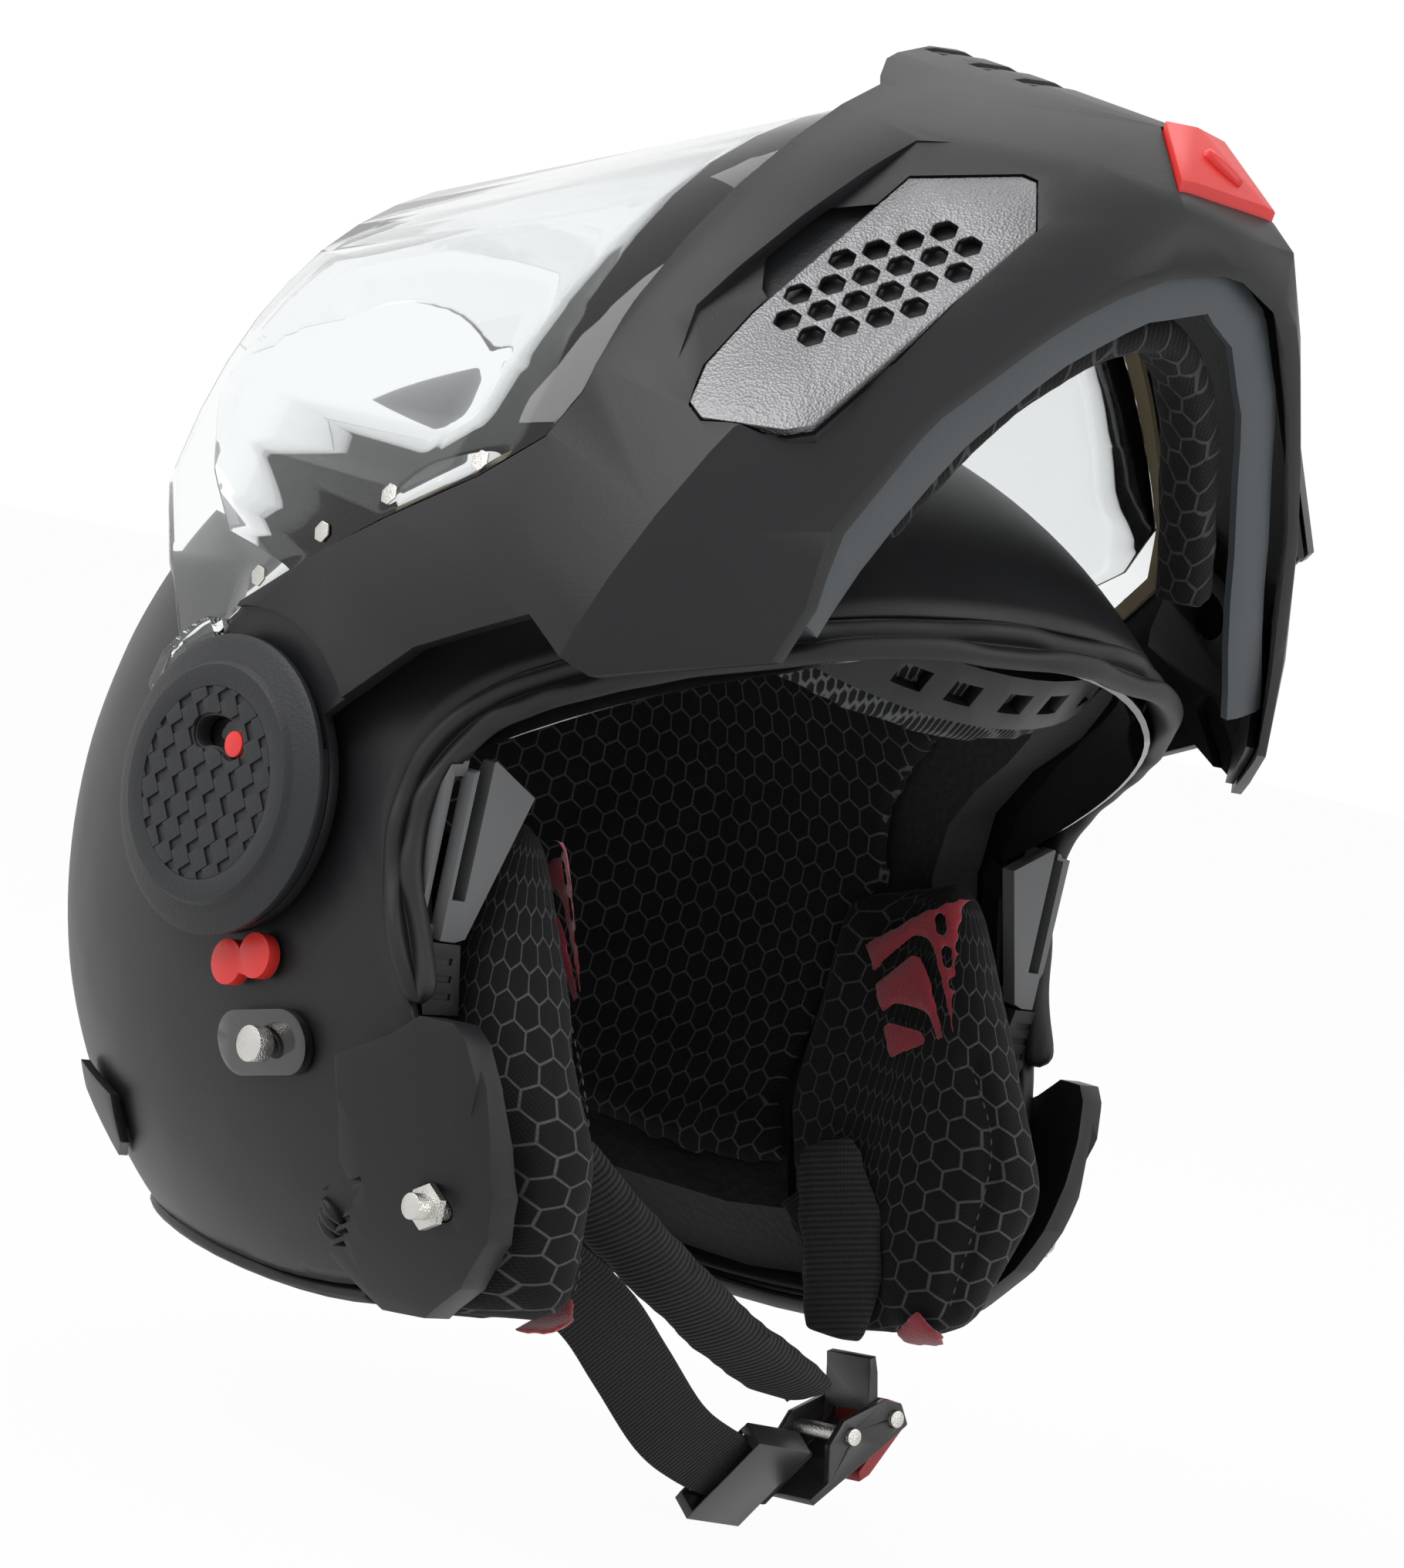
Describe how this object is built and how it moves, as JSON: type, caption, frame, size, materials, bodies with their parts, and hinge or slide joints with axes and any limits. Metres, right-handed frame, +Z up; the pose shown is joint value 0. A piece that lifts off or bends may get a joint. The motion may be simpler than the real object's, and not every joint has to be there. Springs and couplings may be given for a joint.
{
  "type": "motorcycle helmet",
  "caption": "Flip-up motorcycle helmet with its chin bar raised: clear shield, drop-down sun visor, lined interior and buckled chin strap.",
  "frame": {"origin": "middle of the axle line of the two pivots of the chin bar, between the wearer's ears", "axes": "+X towards the wearer's left, -Y forward out of the eyeport, +Z up"},
  "size_m": [0.2606, 0.3037, 0.368],
  "materials": {
    "shell_black": "satin",
    "seal_rubber": "matte",
    "liner_foam": "matte",
    "black_fabric": "matte",
    "red_fabric": "matte",
    "trim_grey": "satin",
    "cover_black": "satin",
    "plate_gloss": "gloss",
    "grille_chrome": "grained",
    "nickel": "polished",
    "red_plastic": "satin",
    "clear": "clear",
    "edge_seal": "satin",
    "smoke_lens": "gloss",
    "webbing": "woven",
    "buckle_black": "satin"
  },
  "bodies": {
    "helmet": {"outer_shell": "shell_black", "eyeport_seal": "seal_rubber", "rim_trim": "shell_black", "eps_liner": "liner_foam", "crown_pad": "black_fabric", "brow_frame": "shell_black", "brow_pad": "black_fabric", "cheek_pad_right": "black_fabric", "cheek_pad_left": "black_fabric", "ear_patch_right": "red_fabric", "ear_patch_left": "red_fabric", "neck_roll": "black_fabric", "side_trim_right": "trim_grey", "side_trim_left": "trim_grey", "cheek_bracket_right": "shell_black", "cheek_bracket_left": "shell_black", "lock_plate_right": "shell_black", "lock_plate_left": "shell_black", "latch_pins": "nickel", "stud_plates": "plate_gloss", "side_studs": "nickel", "pivot_bases": "shell_black", "pivot_retainers": "nickel", "rear_vent": "shell_black", "visor_pins": "nickel", "strap_right": "webbing", "strap_left": "webbing", "strap_pad_right": "black_fabric", "strap_pad_left": "black_fabric", "strap_slider": "buckle_black", "buckle_body": "buckle_black", "buckle_pins": "nickel", "pull_tabs": "red_fabric"},
    "chin_bar": {"chin_bar": "shell_black", "arm_plate_right": "shell_black", "arm_plate_left": "shell_black", "chin_trim": "trim_grey", "chin_pad": "black_fabric", "side_grille_right": "grille_chrome", "side_grille_left": "grille_chrome", "front_vent": "shell_black", "pivot_cover_right": "cover_black", "pivot_cover_left": "cover_black", "tread_inset_right": "cover_black", "tread_inset_left": "cover_black"},
    "release_button": {"release_button": "red_plastic"},
    "shield": {"shield": "clear", "shield_seal": "edge_seal", "inner_lens": "clear", "lens_clips": "nickel", "shield_pins": "red_plastic"},
    "sun_visor": {"sun_visor": "smoke_lens"},
    "visor_lever": {"visor_lever": "red_plastic"},
    "buckle_lever": {"buckle_lever": "red_plastic"}
  },
  "joints": [
    {"name": "chin_bar_pivot", "type": "hinge", "parent": "helmet", "child": "chin_bar", "pos_m": [0, 0, 0], "axis": [-1, 0, 0], "range_deg": [-80.7, 12]},
    {"name": "release_button_press", "type": "slide", "parent": "chin_bar", "child": "release_button", "axis": [0, 0.1616, -0.9869], "range_m": [0, 0.003], "stiffness_N_per_m": 600},
    {"name": "shield_pivot", "type": "hinge", "parent": "chin_bar", "child": "shield", "pos_m": [0, 0, 0], "axis": [-1, 0, 0], "range_deg": [0, 30]},
    {"name": "sun_visor_pivot", "type": "hinge", "parent": "helmet", "child": "sun_visor", "pos_m": [0, -0.032, -0.014], "axis": [1, 0, 0], "range_deg": [0, 45]},
    {"name": "visor_lever_slide", "type": "slide", "parent": "helmet", "child": "visor_lever", "axis": [0, -1, 0], "range_m": [0, 0.009]},
    {"name": "buckle_lever_pivot", "type": "hinge", "parent": "helmet", "child": "buckle_lever", "pos_m": [0.07785, -0.0604, -0.13007], "axis": [-0.1227, -0.9799, 0.1571], "range_deg": [0, 60]}
  ],
  "couplings": [
    {"joint": "visor_lever_slide", "follows": "sun_visor_pivot", "m_per_rad": 0.01123}
  ]
}
